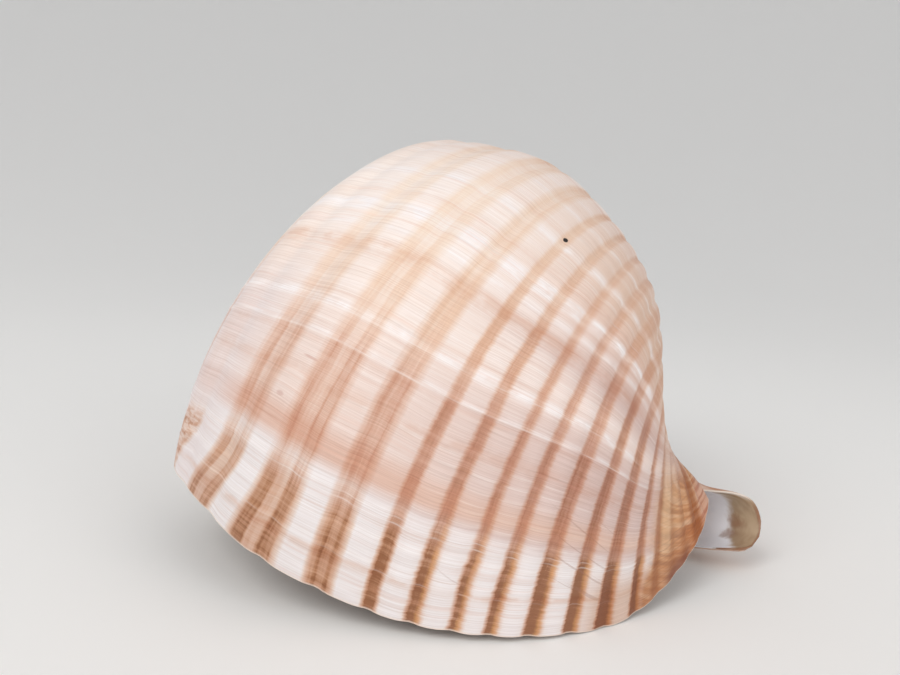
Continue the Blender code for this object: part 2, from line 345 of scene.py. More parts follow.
wallMesh = {
    # points across the whorl, dense where the shell shows; "few" has two parts that meet at "fewSplit"
    "fine": 186, "few": (64, 20), "fewSplit": (0.5, 0.52), "inner": 64, "innerFew": 24,
    # rows along the growth; inside, the early whorls have every third row
    "early": 80, "late": 150, "atLip": 110, "behind": 88, "everyEarly": 3,
    # angles: the first row, the gap before the last turn, where the rows get dense, the last two rows inside
    "start": -4.2 * math.pi, "gap": 0.07, "denseFrom": -0.8, "innerEnds": (-0.12, -0.03),
}


def growWall():
    s = Sheets()
    grid = wallMesh
    start = np.array(shellForm["curveAcross"][0])
    tuck, tuckWall, pastEnd = shellForm["tuck"], shellForm["tuckWall"], shellForm["pastEnd"]
    fine = np.r_[np.linspace(0, 1, grid["fine"]), pastEnd]
    (upper, lower), (above, below) = grid["few"], grid["fewSplit"]
    few = np.r_[np.linspace(0, above, upper), np.linspace(below, 1, lower), pastEnd]
    inner = np.r_[np.linspace(0, 1, grid["inner"]), pastEnd]
    innerFew = np.r_[np.linspace(0, 1, grid["innerFew"]), pastEnd[-1]]
    early = np.linspace(grid["start"], -fullTurn - grid["gap"], grid["early"])
    late = np.r_[np.linspace(-fullTurn, grid["denseFrom"], grid["late"])[:-1],
                 np.linspace(grid["denseFrom"], 0, grid["atLip"])]
    behind = np.r_[np.linspace(-fullTurn, grid["innerEnds"][0], grid["behind"]), grid["innerEnds"][1]]
    sheets = []
    for v, t, side in ((early, few, 1), (late, fine, 1), (early[::grid["everyEarly"]], innerFew, -1),
                       (behind, inner, -1)):
        tt, vv = np.meshgrid(t, v)
        if side > 0:
            level = 1 - shellForm["lipLevel"] * np.clip(1 + vv / shellForm["levelOver"], 0, 1)
            p = acrossAt(tt, vv, restHeight(tt, vv) - shellForm["ribDepth"] * level * grooveAt(tt))
            p[:, 0] = start + (-tuck, 0.0)
        else:
            w = wallAt(tt, vv)
            p = acrossAt(tt, vv, -w)
            p[:, 0, 0] = start[0] - tuck
            p[:, 0, 1] = start[1] - tuckWall * w[:, 0]
        sheets.append(s.grid(coil(p[..., 0], p[..., 1], vv + lipLead(tt, vv)), tt, vv))
    outerEarly, outer, innerEarly, innerLate = sheets
    lip = acrossAt(fine, 0 * fine, 0 * fine - shellForm["lipWall"])
    lip[0] = start + (-tuck, -tuckWall * shellForm["lipWall"])
    edge = s.grid(coil(lip[:, 0], lip[:, 1], lipLead(fine, 0 * fine))[None], fine, 0.0)[0]
    s.skin(outerEarly, outsideSlot)
    s.skin(outer, outsideSlot)
    s.zip(outerEarly[-1], outer[0], outsideSlot)
    s.skin(innerEarly, insideSlot, True)
    s.skin(innerLate, insideSlot, True)
    s.zip(innerEarly[-1], innerLate[0], insideSlot, True)
    s.zip(innerLate[-1], edge, insideSlot, True)
    s.skin(np.array([outer[-1], edge]), outsideSlot)
    s.zip(outerEarly[0], innerEarly[0], outsideSlot, True)
    for end in (0, -1):
        a = np.r_[outerEarly[:, end], outer[:, end]]
        b = np.r_[innerEarly[:, end], innerLate[:, end], edge[end]]
        s.zip(a, b, outsideSlot, end == -1)
    return s.build("wall")


nucleus = {
    # the solid whorls at the tip: first and last angle, how far they lie inside the outer surface
    "first": -8.2 * math.pi, "last": -4.1 * math.pi, "inset": 1.6, "rows": 96,
    "upper": 22, "upperEnd": 0.5, "lower": [0.65, 0.85, 1.0],       # places across the whorl
    "core": [(1.2, -155.0), (1.2, -30.0)],      # where they end beside the axis
}


def growNucleus():
    s = Sheets()
    v = np.linspace(nucleus["first"], nucleus["last"], nucleus["rows"])
    t = np.r_[np.linspace(0, nucleus["upperEnd"], nucleus["upper"]), nucleus["lower"]]
    p = curveAcross(t) - curveNormal(t) * nucleus["inset"]
    p = np.vstack([p, nucleus["core"]])
    p[0, 0] -= shellForm["tuck"]
    t = np.r_[t, 1.0, 0.0]
    shape = (len(v), len(p))
    vv = np.broadcast_to(v[:, None], shape)
    r, z = np.broadcast_to(p[:, 0], shape), np.broadcast_to(p[:, 1], shape)
    ids = s.grid(coil(r, z, vv), t[None], vv)
    s.skin(np.concatenate([ids, ids[:, :1]], 1), outsideSlot)
    s.addFaces([ids[0][::-1], ids[-1]], outsideSlot)
    return s.build("nucleus")


columella = {
    # height, radius, shift of the centre
    "rows": [(-5.0, 1.9, 0.0), (-15.0, 2.5, 0.0), (-30.0, 3.4, 0.0), (-48.0, 4.48, 0.0), (-66.0, 5.56, 0.0),
             (-84.0, 7.8, 0.0), (-98.0, 9.8, 0.2), (-110.0, 10.9, 1.0), (-120.0, 10.6, 2.4),
             (-128.0, 9.2, 4.2), (-134.0, 7.2, 6.2), (-139.0, 5.0, 7.6), (-143.0, 2.4, 8.4)],
    "twist": 0.06, "twistPitch": 26.0,      # share of the radius, length in which it turns by one radian
    "patternLength": 50.0, "down": 70, "round": 48,
}


def growColumella():
    s = Sheets()
    rows = np.array(columella["rows"])
    shape = smoothCurve(-rows[:, 0], rows[:, 1:])
    z = np.linspace(-rows[0, 0], -rows[-1, 0], columella["down"])
    r, shift = shape(z).T
    z = z[:, None]
    a = np.arange(columella["round"]) * fullTurn / columella["round"]
    rad = r[:, None] * (1 + columella["twist"] * np.cos(2 * (a - z / columella["twistPitch"])))
    p = np.stack([rad * np.cos(a), shift[:, None] + rad * np.sin(a), -np.broadcast_to(z, rad.shape)], -1)
    ids = s.grid(p, a[None] / fullTurn, -z / columella["patternLength"])
    s.skin(np.concatenate([ids, ids[:, :1]], 1), insideSlot)
    s.addFaces([ids[0][::-1], ids[-1]], insideSlot)
    return s.build("columella")


channel = {
    # height, centre, radius, first and last angle of the curled strip
    "rows": [(-97.0, 0.3, 8.0, 60, 300), (-105.0, 1.2, 11.6, 60, 300), (-111.0, 2.2, 13.2, 60, 300),
             (-118.0, 4.5, 14.0, 60, 300), (-126.0, 5.0, 13.0, 60, 300), (-133.0, 5.8, 11.8, 62, 301),
             (-139.0, 6.8, 10.7, 70, 302), (-143.5, 8.2, 10.0, 94, 302), (-147.0, 10.2, 9.7, 110, 302),
             (-151.0, 12.9, 9.5, 128, 302), (-155.0, 15.5, 9.2, 153, 302), (-158.5, 17.8, 8.9, 187, 300),
             (-160.5, 19.1, 8.8, 214, 286), (-161.5, 19.8, 8.7, 236, 266)],
    "wall": 1.8,
    "thinner": 0.5,             # how much of it is gone at the tip
    "thinFrom": 140.0, "thinOver": 14.0,
    "rounding": 0.35,           # how much of the wall the edges are rounded by
    "sideRound": 0.05, "tipRound": 0.9,     # over this share of the strip, and over this length
    "firstFree": 7,             # from this row on the first angle is a free rim
    "lastFree": 4,              # and on this many rows, from the tip, the last angle
    "patternLength": 64.0, "down": 72, "round": 48,
}


def growChannel():
    s = Sheets()
    rows = np.array(channel["rows"])
    shape = smoothCurve(-rows[:, 0], rows[:, 1:])
    z = np.linspace(-rows[0, 0], -rows[-1, 0], channel["down"])
    centre, r, first, last = shape(z).T
    u = np.linspace(0, 1, channel["round"])
    a = np.radians(first[:, None] + (last - first)[:, None] * u[None])
    towardTip = np.clip((z - channel["thinFrom"]) / channel["thinOver"], 0, 1)
    thick = channel["wall"] - channel["thinner"] * towardTip
    drawn = thick * channel["rounding"]
    atSides = np.clip(1 - np.minimum(u, 1 - u) / channel["sideRound"], 0, 1)
    atTip = np.clip(1 - (z[-1] - z) / channel["tipRound"], 0, 1)
    edge = np.maximum(atSides[None] * drawn[:, None], (atTip * drawn)[:, None])
    # where the strip ends at each angle, to paint along the free rim: down one side and up the other
    down, up = rows[channel["firstFree"]:], rows[:-1 - channel["lastFree"]:-1]
    ends = -np.r_[down[:, 0], up[:, 0]]
    toRim = np.interp(np.degrees(a), np.r_[down[:, 3], up[:, 4]], ends) - z[:, None]
    inPattern = 1 - toRim / channel["patternLength"]
    rims = []
    for side in (1, -1):
        rad = (r - (thick if side < 0 else 0))[:, None] - side * edge
        p = np.stack([rad * np.cos(a), centre[:, None] + rad * np.sin(a),
                      -np.broadcast_to(z[:, None], a.shape)], -1)
        rims.append(s.grid(p, a / fullTurn, inPattern))
    outer, inner = rims
    s.skin(outer, channelBackSlot)
    s.skin(inner, channelSlot, True)
    s.zip(outer[0], inner[0], channelSlot, True)
    s.zip(outer[-1], inner[-1], channelSlot)
    s.zip(outer[:, 0], inner[:, 0], channelSlot)
    s.zip(outer[:, -1], inner[:, -1], channelSlot, True)
    return s.build("channel")


def uniteWith(target, other, overlapsItself=False):
    bpy.ops.object.select_all(action='DESELECT')
    bpy.context.view_layer.objects.active = target
    target.select_set(True)
    joiner = target.modifiers.new("unite", 'BOOLEAN')
    joiner.operation = 'UNION'
    joiner.solver = 'EXACT'
    joiner.use_self = overlapsItself
    joiner.object = other
    bpy.ops.object.modifier_apply(modifier=joiner.name)
    bpy.data.objects.remove(other)


def layDown(obj):
    # from the apex's frame in millimetres to the resting pose in metres
    lay = Matrix(((0, 0, -1), (-1, 0, 0), (0, 1, 0)))
    tilt = Vector(shellForm["tilt"])
    pose = (Matrix.Rotation(tilt.length, 3, tilt.normalized()) @ lay).to_4x4()
    toMetres = Matrix.Scale(0.001, 4)
    obj.data.transform(Matrix.Translation(shellForm["restOffset"]) @ toMetres @ pose)


def paint(r, g, b):
    # a screen colour, 0 to 255, as the shader wants it
    def line(c):
        c = c / 255
        return c / 12.92 if c <= 0.04045 else ((c + 0.055) / 1.055) ** 2.4
    return (line(r), line(g), line(b), 1.0)


def paintAll(tones):
    return {name: paint(*screen) for name, screen in tones.items()}


def shade(value):
    # a socket stays as it is, one number is a grey, three are a colour
    if isinstance(value, bpy.types.NodeSocket):
        return value
    return (value, value, value, 1.0) if isinstance(value, float) else tuple(value[:3]) + (1.0,)


class Bench:
    # short hand for placing and wiring shader nodes
    def __init__(self, tree):
        self.tree = tree
        self.x = 0

    def put(self, kind, **settings):
        n = self.tree.nodes.new(kind)
        self.x += 40
        n.location = (self.x % 2400, -(self.x // 2400) * 300)
        for key, value in settings.items():
            setattr(n, key, value)
        return n

    def feed(self, socket, value):
        if isinstance(value, bpy.types.NodeSocket):
            self.tree.links.new(value, socket)
        elif value is not None:
            socket.default_value = value

    def math(self, what, a, b=None, c=None, clamp=False):
        n = self.put('ShaderNodeMath', operation=what, use_clamp=clamp)
        for socket, value in zip(n.inputs, (a, b, c)):
            self.feed(socket, value)
        return n.outputs[0]

    def times(self, total, *others):
        for value in others:
            total = self.math('MULTIPLY', total, value)
        return total

    def plus(self, total, *others, clamp=False):
        for value in others:
            total = self.math('ADD', total, value, clamp=clamp and value is others[-1])
        return total

    def minus(self, a, b):
        return self.math('SUBTRACT', a, b)

    def span(self, value, low, high, toLow=0.0, toHigh=1.0, smooth=True):
        n = self.put('ShaderNodeMapRange', interpolation_type='SMOOTHSTEP' if smooth else 'LINEAR')
        ends = {"Value": value, "From Min": low, "From Max": high, "To Min": toLow, "To Max": toHigh}
        for name, v in ends.items():
            self.feed(n.inputs[name], v)
        return n.outputs["Result"]

    def mix(self, factor, a, b, blend='MIX'):
        n = self.put('ShaderNodeMix', data_type='RGBA', blend_type=blend)
        self.feed(n.inputs["Factor"], factor)
        self.feed(n.inputs[6], shade(a))
        self.feed(n.inputs[7], shade(b))
        return n.outputs[2]

    def glaze(self, factor, under, tone):
        # a thin coat that only darkens
        return self.mix(factor, under, self.mix(1.0, under, tone, 'MULTIPLY'))

    def ramp(self, value, low, high, stops):
        # stops: (place between low and high, colour or grey value)
        n = self.put('ShaderNodeValToRGB')
        band = n.color_ramp
        while len(band.elements) < len(stops):
            band.elements.new(1.0)
        for element, (place, tone) in zip(band.elements, stops):
            element.position = (place - low) / (high - low)
            element.color = shade(tone)
        self.feed(n.inputs["Fac"], self.span(value, low, high, smooth=False))
        return n.outputs["Color"]

    def noise(self, first, second, detail=2.0, rough=0.5):
        # first and second: a value and the scale of the noise along it
        point = self.put('ShaderNodeCombineXYZ')
        self.feed(point.inputs[0], self.times(*first))
        self.feed(point.inputs[1], self.times(*second))
        n = self.put('ShaderNodeTexNoise', noise_dimensions='2D')
        self.feed(n.inputs["Vector"], point.outputs[0])
        n.inputs["Scale"].default_value = 1.0
        n.inputs["Detail"].default_value = detail
        n.inputs["Roughness"].default_value = rough
        return n.outputs["Fac"]

    def sway(self, first, second, size, detail=2.0, rough=0.5):
        # noise to both sides of nought
        return self.times(self.minus(self.noise(first, second, detail, rough), 0.5), size)

    def zone(self, t, v, window):
        # a soft window: where it comes in across the whorl and along the growth, and how strong it is
        across, along, much = window
        return self.times(self.span(t, *across), self.span(v, *along), much)

    def oval(self, t, v, middle, half):
        # nought in the middle of an oval, 1 on its edge
        parts = [self.math('POWER', self.math('DIVIDE', self.minus(value, at), reach), 2.0)
                 for value, at, reach in zip((t, v), middle, half)]
        return self.plus(*parts)

    def place(self):
        # the pattern's own coordinates: t across the ribs, v along the growth
        uv = self.put('ShaderNodeUVMap', uv_map="growth")
        parts = self.put('ShaderNodeSeparateXYZ')
        self.feed(parts.inputs[0], uv.outputs[0])
        return parts.outputs[0], parts.outputs[1]


growthGrain = {
    # scale along the growth, scale across it, detail, roughness
    "hair": (340.0, 9.0, 2.0, 0.6), "streak": (78.0, 2.6, 4.0, 0.62), "cloud": (13.0, 3.5, 3.0, 0.6),
    "sway": (4.0, 2.0, 0.04),   # scale across, scale along, size
    "relief": 0.0003,           # height of the bump, metres
}


def growthLinesGroup():
    # fine lines parallel to the lip, for every face of the shell
    tree = bpy.data.node_groups.new("growthLines", 'ShaderNodeTree')
    for name in ("Across", "Along"):
        tree.interface.new_socket(name, in_out='INPUT', socket_type='NodeSocketFloat')
    for name in ("Hair", "Streak", "Cloud"):
        tree.interface.new_socket(name, in_out='OUTPUT', socket_type='NodeSocketFloat')
    b = Bench(tree)
    t, v = b.put('NodeGroupInput').outputs[:2]
    made = b.put('NodeGroupOutput')
    across, along, size = growthGrain["sway"]
    vs = b.plus(v, b.sway((t, across), (v, along), size))
    for socket, name in zip(made.inputs, ("hair", "streak", "cloud")):
        along, across, detail, rough = growthGrain[name]
        b.feed(socket, b.noise((vs, along), (t, across), detail, rough))
    return tree


def startFinish(name, lines):
    mat = bpy.data.materials.new(name)
    mat.use_nodes = True
    b = Bench(mat.node_tree)
    t, v = b.place()
    grain = b.put('ShaderNodeGroup', node_tree=lines)
    b.feed(grain.inputs[0], t)
    b.feed(grain.inputs[1], v)
    return mat, b, t, v, grain.outputs


def endFinish(mat, b, colour, rough, bumpStrength=0.0, height=None):
    shader = mat.node_tree.nodes["Principled BSDF"]
    b.feed(shader.inputs["Base Color"], colour)
    b.feed(shader.inputs["Roughness"], rough)
    if height is not None:
        bump = b.put('ShaderNodeBump')
        bump.inputs["Strength"].default_value = bumpStrength
        bump.inputs["Distance"].default_value = growthGrain["relief"]
        b.feed(bump.inputs["Height"], height)
        b.feed(shader.inputs["Normal"], bump.outputs[0])
    return shader


outsideFinish = {
    # brown bands: the stretch across the whorl that their ramp covers, the softness of their edges, and for
    # each its first and last place and its strength, which is 1 where none is given
    "nearSuture": ((0.0, 0.32), 0.005, [(0.068, 0.084, 0.5), (0.118, 0.134, 0.55), (0.172, 0.190, 0.6),
                                        (0.231, 0.249, 0.55), (0.266, 0.300, 0.15)]),
    "spotted": ((0.24, 0.32), 0.004, [(0.262, 0.302)]),
    "broad": ((0.33, 0.56), 0.004, [(0.350, 0.366, 0.78), (0.375, 0.393, 0.74), (0.430, 0.448, 0.95),
                                    (0.456, 0.476, 0.88), (0.511, 0.5215), (0.524, 0.535)]),
    "broadWhole": ((0.33, 0.56), 0.004, [(0.347, 0.394, 0.5), (0.427, 0.478, 0.55), (0.508, 0.537, 0.8)]),
    "fine": ((0.55, 0.87), 0.0026, [(0.569, 0.583), (0.611, 0.624), (0.652, 0.662), (0.685, 0.696),
                                    (0.722, 0.737), (0.762, 0.777), (0.798, 0.817), (0.842, 0.856)]),
    "towardCanal": ((0.865, 1.0), 0.003, [(0.873, 0.887, 0.85), (0.902, 0.913, 0.4), (0.923, 0.934, 0.45),
                                          (0.946, 0.966)]),
    "farSide": 0.92,                    # strength at a band's last place
    "veil": (0.005, 0.003, 0.005),      # a faint one round each fine band: softness, reach before and after
    "veilStrength": 0.09,
    # how far past a fine band its amber fringe begins, peaks and ends
    "fringe": [(-0.005, 0.0), (-0.002, 1.0), (0.001, 0.8), (0.0055, 0.0)], "fringeReach": (0.60, 0.87),
    # the stretches along the growth that the other ramps cover
    "age": (-1.8, 0.0), "rowsReach": (-1.7, 0.0), "lipRowsReach": (-0.32, 0.0),
    # what is left of the ground colour under a thin, a middling and a dense band
    "pigment": [(0.0, (1.0, 1.0, 1.0)), (0.3, (0.885, 0.735, 0.640)), (0.6, (0.735, 0.485, 0.370)),
                (0.85, (0.525, 0.285, 0.170)), (1.0, (0.345, 0.155, 0.075))],
    # how dense the pigment is along the growth, on the upper and the lower part of the whorl
    "denseUp": [(-1.8, 0.55), (-1.5, 0.18), (-1.3, 0.12), (-1.0, 0.10), (-0.88, 0.18), (-0.66, 0.30),
                (-0.60, 0.34), (-0.57, 0.44), (-0.53, 0.66), (-0.36, 0.64), (-0.31, 0.50), (-0.26, 0.44),
                (-0.235, 0.66), (-0.20, 1.04), (0.0, 1.28)],
    "denseLow": [(-1.8, 0.60), (-1.5, 0.22), (-1.3, 0.20), (-1.0, 0.32), (-0.84, 0.50), (-0.66, 0.62),
                 (-0.62, 0.58), (-0.57, 0.62), (-0.545, 0.73), (-0.36, 0.75), (-0.30, 0.71), (-0.25, 0.74),
                 (-0.235, 0.93), (-0.19, 1.06), (0.0, 1.12)],
    "groundUp": [(-1.8, "ivory"), (-1.5, "ivory"), (-1.15, "cream"), (-0.90, "cream"), (-0.66, "ivory"),
                 (-0.53, "pinkTan"), (-0.38, "pinkTan"), (-0.33, "peach"), (-0.295, "peach"),
                 (-0.26, "coolWhite"), (0.0, "coolWhite")],
    "groundLow": [(-1.8, "pinkTan"), (-1.5, "farTan"), (-1.15, "farTan"), (-1.0, "warmTan"), (-0.8, "rosy"),
                  (-0.70, "pinkTan"), (-0.57, "rosy"), (-0.38, "rosy"), (-0.31, "warmTan"), (-0.27, "rosy"),
                  (-0.225, "coolWhite"), (0.0, "coolWhite")],
    # rows across the ribs, along the growth: 1 is a white row, 0 a rosy tan one
    "rows": [(-1.70, 0.3), (-1.49, 0.7), (-1.43, 0.3), (-1.375, 0.75), (-1.32, 0.4), (-1.27, 0.65),
             (-1.24, 0.4), (-1.17, 0.85), (-1.13, 0.5), (-1.10, 0.65), (-1.05, 0.3), (-1.015, 0.45),
             (-0.985, 1.0), (-0.955, 0.9), (-0.935, 0.5), (-0.895, 0.8), (-0.865, 0.45), (-0.835, 0.12),
             (-0.80, 0.28), (-0.77, 0.48), (-0.74, 0.38), (-0.70, 0.7), (-0.665, 0.55), (-0.64, 0.95),
             (-0.615, 0.5), (-0.58, 0.5), (-0.558, 0.8), (-0.54, 0.25), (-0.50, 0.5), (-0.45, 0.2),
             (-0.39, 0.6), (-0.33, 0.5)],
    "lipRows": [(-0.32, 0.5), (-0.27, 0.5), (-0.25, 0.75), (-0.215, 0.35), (-0.18, 0.8), (-0.15, 0.45),
                (-0.12, 0.75), (-0.10, 0.05), (-0.08, 0.4), (-0.05, 0.65), (0.0, 0.5)],
    "rowSlant": 0.08, "rowsMeet": 0.6,      # the rows lean along the growth; here they lie as listed
    "hairTone": [(0.24, (0.88, 0.84, 0.82)), (0.5, (0.985, 0.98, 0.975)), (0.74, (1.05, 1.06, 1.07))],
    "strokes": [(0.36, "umber"), (0.44, "chestnut"), (0.51, "caramel"), (0.62, "sand")],
    # soft windows: across the whorl from and to, along the growth from and to, strength
    "climb": ((0.52, 0.34), (-0.22, 0.02), 0.036),
    "drift": ((0.64, 0.82), (-0.85, -1.5), -0.026),
    "denser": ((0.73, 0.78), (-0.56, -0.64), 0.22),
    "lilacPart": ((0.37, 0.30), (-0.80, -0.55), 0.7),
    "tanPart": ((0.765, 0.80), (-0.24, -0.11), 0.7),
    "freshPart": ((0.68, 0.54), (-0.26, -0.16), 0.8),
    "olderPart": ((0.72, 0.56), (-0.5, -0.75), 0.8),
    "edgeStrip": ((0.962, 0.978), (-0.45, -0.25), 1.0),
    "scratchFrom": ((0.61, 0.66), (-0.42, -0.32), 0.35),
    "scratchTo": ((0.83, 0.78), (-0.06, -0.12), 1.0),
    # a pinhole, not cut but painted as a near-black spot of painted shade, and two small reddish marks:
    # place, half size, tone, strength, softness
    "marks": [((0.575, -1.215), (0.0034, 0.0115), "hole", 1.0, 0.25),
              ((0.406, -0.369), (0.005, 0.006), "redMark", 0.34, 0.8),
              ((0.42, -0.476), (0.010, 0.003), "tanMark", 0.45, 0.8)],
}
outsideTones = {
    "coolWhite": (238, 231, 231), "ivory": (243, 226, 217), "cream": (250, 237, 230),
    "peach": (224, 188, 172), "pinkTan": (238, 219, 211), "rosy": (214, 188, 181),
    "warmTan": (224, 192, 176), "farTan": (220, 184, 160),
    "lilac": (233, 221, 221), "whiteRow": (250, 244, 244), "tanRow": (238, 214, 198),
    "paleStreak": (250, 243, 240), "tanStreak": (240, 214, 200), "tanEdge": (208, 170, 144),
    "fresh": (255, 246, 226), "older": (255, 250, 238), "amber": (226, 170, 110),
    "umber": (140, 78, 40), "chestnut": (180, 112, 62), "caramel": (204, 148, 100), "sand": (228, 194, 162),
    "canalPale": (214, 168, 126), "canalOrange": (186, 112, 54), "canalBack": (212, 160, 112),
    "canalLip": (170, 100, 52), "canalBand": (148, 80, 38), "canalRib": (230, 194, 156),
    "canalArc": (128, 74, 46), "stripDark": (176, 112, 84), "stripPale": (208, 162, 136),
    "darkTip": (112, 54, 38), "scratch": (160, 112, 92), "rest": (250, 244, 242), "lipEdge": (238, 220, 206),
    # the pinhole's tone is painted shade: a near-black spot where a hole would show the dim inside
    "hole": (22, 8, 6), "redMark": (190, 134, 120), "tanMark": (196, 140, 122),
}


def bandRamp(b, at, name, soft=None, before=0.0, after=0.0):
    reach, edge, bands = outsideFinish[name]
    soft = soft or edge
    stops = []
    for first, last, *given in bands:
        full = given[0] if given else 1.0
        first, last = first - before, last + after
        stops += [(first - soft, 0.0), (first + soft, full),
                  (last - soft, full * outsideFinish["farSide"]), (last + soft, 0.0)]
    return b.ramp(at, *reach, stops)


def placeBands(b, t, v):
    # the bands climb a little at the lip's upper part and drift at the back, and their edges fray and wave
    fray = b.sway((v, 90.0), (t, 30.0), b.span(t, 0.5, 0.6, 0.0015, 0.004), 3.0, 0.65)
    wave = b.sway((v, 6.0), (t, 9.0), 0.004)
    return b.plus(t, b.zone(t, v, outsideFinish["climb"]), b.zone(t, v, outsideFinish["drift"]), fray, wave)


def bandMask(b, tb, v):
    broad = b.math('MAXIMUM', bandRamp(b, tb, "broad"), bandRamp(b, tb, "broadWhole"))
    bands = b.plus(bandRamp(b, tb, "nearSuture"), broad, bandRamp(b, tb, "fine"),
                   bandRamp(b, tb, "towardCanal"), clamp=True)
    # near the lip the last band before the broad ones breaks up in spots
    spots = b.span(b.noise((tb, 62.0), (v, 84.0), 3.0, 0.6), 0.36, 0.66, 0.15, 0.62)
    spots = b.times(spots, bandRamp(b, tb, "spotted"), b.span(v, -0.25, -0.18))
    return b.plus(bands, spots, clamp=True)


def pigmentDensity(b, t, v, tb, bands, streak):
    look = outsideFinish
    veil = bandRamp(b, tb, "fine", *look["veil"])
    dense = b.mix(b.span(t, 0.38, 0.66), b.ramp(v, *look["age"], look["denseUp"]),
                  b.ramp(v, *look["age"], look["denseLow"]))
    dense = b.times(dense, b.span(t, 0.64, 0.80, 0.92, 1.06))
    # thin lines run along the bands, thick ones in the broad bands, and the growth lines cross them
    cords = b.noise((tb, 190.0), (v, 4.0), 3.0, 0.6)
    threads = b.noise((tb, 420.0), (v, 7.0), 2.0, 0.6)
    uneven = b.mix(b.span(t, 0.48, 0.60), b.span(cords, 0.32, 0.62, 1.16, 0.68, False),
                   b.span(threads, 0.25, 0.7, 1.06, 0.84, False))
    uneven = b.mix(b.span(v, -0.26, -0.16, 0.0, 0.5), uneven, 0.98)
    crossed = b.span(streak, 0.30, 0.62, b.span(v, -0.26, -0.18, 0.82, 0.78), 1.06, False)
    denser = b.plus(b.zone(t, v, look["denser"]), 1.0)
    density = b.times(bands, dense, crossed, uneven, denser)
    return b.plus(density, b.times(veil, dense, look["veilStrength"]), clamp=True)


def groundColour(b, t, v, tone):
    look = outsideFinish
    upper, lower = [b.ramp(v, *look["age"], [(place, tone[name]) for place, name in look[part]])
                    for part in ("groundUp", "groundLow")]
    ground = b.mix(b.span(t, 0.44, 0.78), upper, lower)
    return b.mix(b.zone(t, v, look["lilacPart"]), ground, tone["lilac"])


def layRows(b, t, v, tone, ground):
    # rows across the ribs: white where the shell grew fast, rosy tan where it grew slowly
    look = outsideFinish
    along = b.math('MULTIPLY_ADD', t, look["rowSlant"], b.minus(v, look["rowSlant"] * look["rowsMeet"]))
    along = b.plus(along, b.sway((t, 14.0), (v, 9.0), 0.022))
    lipRows = b.minus(b.ramp(along, *look["lipRowsReach"], look["lipRows"]), 0.5)
    rows = b.plus(b.ramp(along, *look["rowsReach"], look["rows"]), lipRows, clamp=True)
    # behind the listed rows come others at random
    onBack = b.span(along, -1.60, -1.72)
    backRows = b.span(b.noise((along, 7.0), (t, 1.2)), 0.36, 0.64)
    rows = b.plus(b.times(rows, b.minus(1.0, onBack)), b.times(backRows, onBack))
    broken = b.noise((t, 24.0), (v, 16.0), 3.0, 0.6)
    white = b.times(b.span(rows, 0.5, 1.0), b.span(broken, 0.32, 0.58, 0.35, 0.95),
                    b.span(t, 0.86, 0.75, 0.3, 1.0), b.math('MULTIPLY_ADD', onBack, -0.45, 1.0))
    ground = b.mix(white, ground, tone["whiteRow"])
    tan = b.times(b.span(rows, 0.5, 0.0), b.span(broken, 0.62, 0.38, 0.25, 1.0), 0.75)
    return b.glaze(tan, ground, tone["tanRow"])


def canalColour(b, t, v, tone, bands):
    # toward the channel the growth lines run together in orange and brown streaks
    slope = b.minus(t, b.times(b.plus(v, 0.3), b.span(v, -1.0, -0.35, 0.05, 0.34)))
    strokes = b.noise((slope, 58.0), (v, 1.6), 4.0, 0.6)
    stroke = b.ramp(strokes, 0.0, 1.0, [(place, tone[name]) for place, name in outsideFinish["strokes"]])
    arcs = b.span(b.noise((v, 190.0), (t, 8.0), 3.0), 0.48, 0.36)
    paleRib = b.times(b.span(t, 0.885, 0.891), b.span(t, 0.905, 0.899), b.span(v, -0.14, -0.22, 0.0, 0.4))
    darkTip = b.times(b.span(t, 0.888, 0.905), b.span(t, 0.948, 0.925), b.span(v, -0.10, -0.02), 0.75)
    strip = b.mix(b.span(strokes, 0.35, 0.6), tone["stripDark"], tone["stripPale"])
    colour = b.mix(b.span(t, 0.898, 0.948), b.mix(0.4, stroke, tone["canalPale"]),
                   b.mix(0.45, stroke, tone["canalOrange"]))
    for mask, over in ((b.span(v, -0.14, -0.30, 0.0, 0.35), tone["canalBack"]),
                       (b.span(v, -0.20, -0.08, 0.0, 0.45), tone["canalLip"]),
                       (b.times(bands, 0.7), tone["canalBand"]),
                       (paleRib, tone["canalRib"]),
                       (b.times(arcs, b.span(v, -0.35, -0.10, 0.25, 0.5)), tone["canalArc"]),
                       (b.zone(t, v, outsideFinish["edgeStrip"]), strip),
                       (darkTip, tone["darkTip"])):
        colour = b.mix(mask, colour, over)
    return colour


def layMarks(b, t, v, tone, colour):
    look = outsideFinish
    # a few slanting scratches above the lip
    slant = b.minus(v, b.times(t, 1.25))
    scratch = b.span(b.noise((slant, 70.0), (t, 3.0)), 0.335, 0.30)
    scratch = b.times(scratch, b.zone(t, v, look["scratchFrom"]), b.zone(t, v, look["scratchTo"]))
    colour = b.mix(scratch, colour, tone["scratch"])
    # growth rests: thin white lines
    restLine = 0.0
    for angle, lean, height, half in shellForm["rests"]:
        away = b.minus(v, b.math('MULTIPLY_ADD', t, lean, angle - lean * shellForm["restsMeet"]))
        one = b.span(b.math('ABSOLUTE', away), half * 0.6, 0.0, 0.0, min(1.0, height * 3.6))
        restLine = b.math('MAXIMUM', restLine, one)
    patchy = b.span(b.noise((t, 34.0), (v, 5.0)), 0.35, 0.6, 0.4, 1.0)
    colour = b.mix(b.times(restLine, patchy, b.span(t, 0.87, 0.76, 0.1, 1.0), 0.42), colour, tone["rest"])
    # the marks, with the pinhole's painted shade among them
    for place, half, name, much, soft in look["marks"]:
        mark = b.span(b.oval(t, v, place, half), 1.0 + soft, 1.0 - soft, 0.0, much)
        colour = b.mix(mark, colour, tone[name])
    # the very edge of the lip is worn pale
    return b.mix(b.span(v, -0.006, -0.001, 0.0, 0.7), colour, tone["lipEdge"])


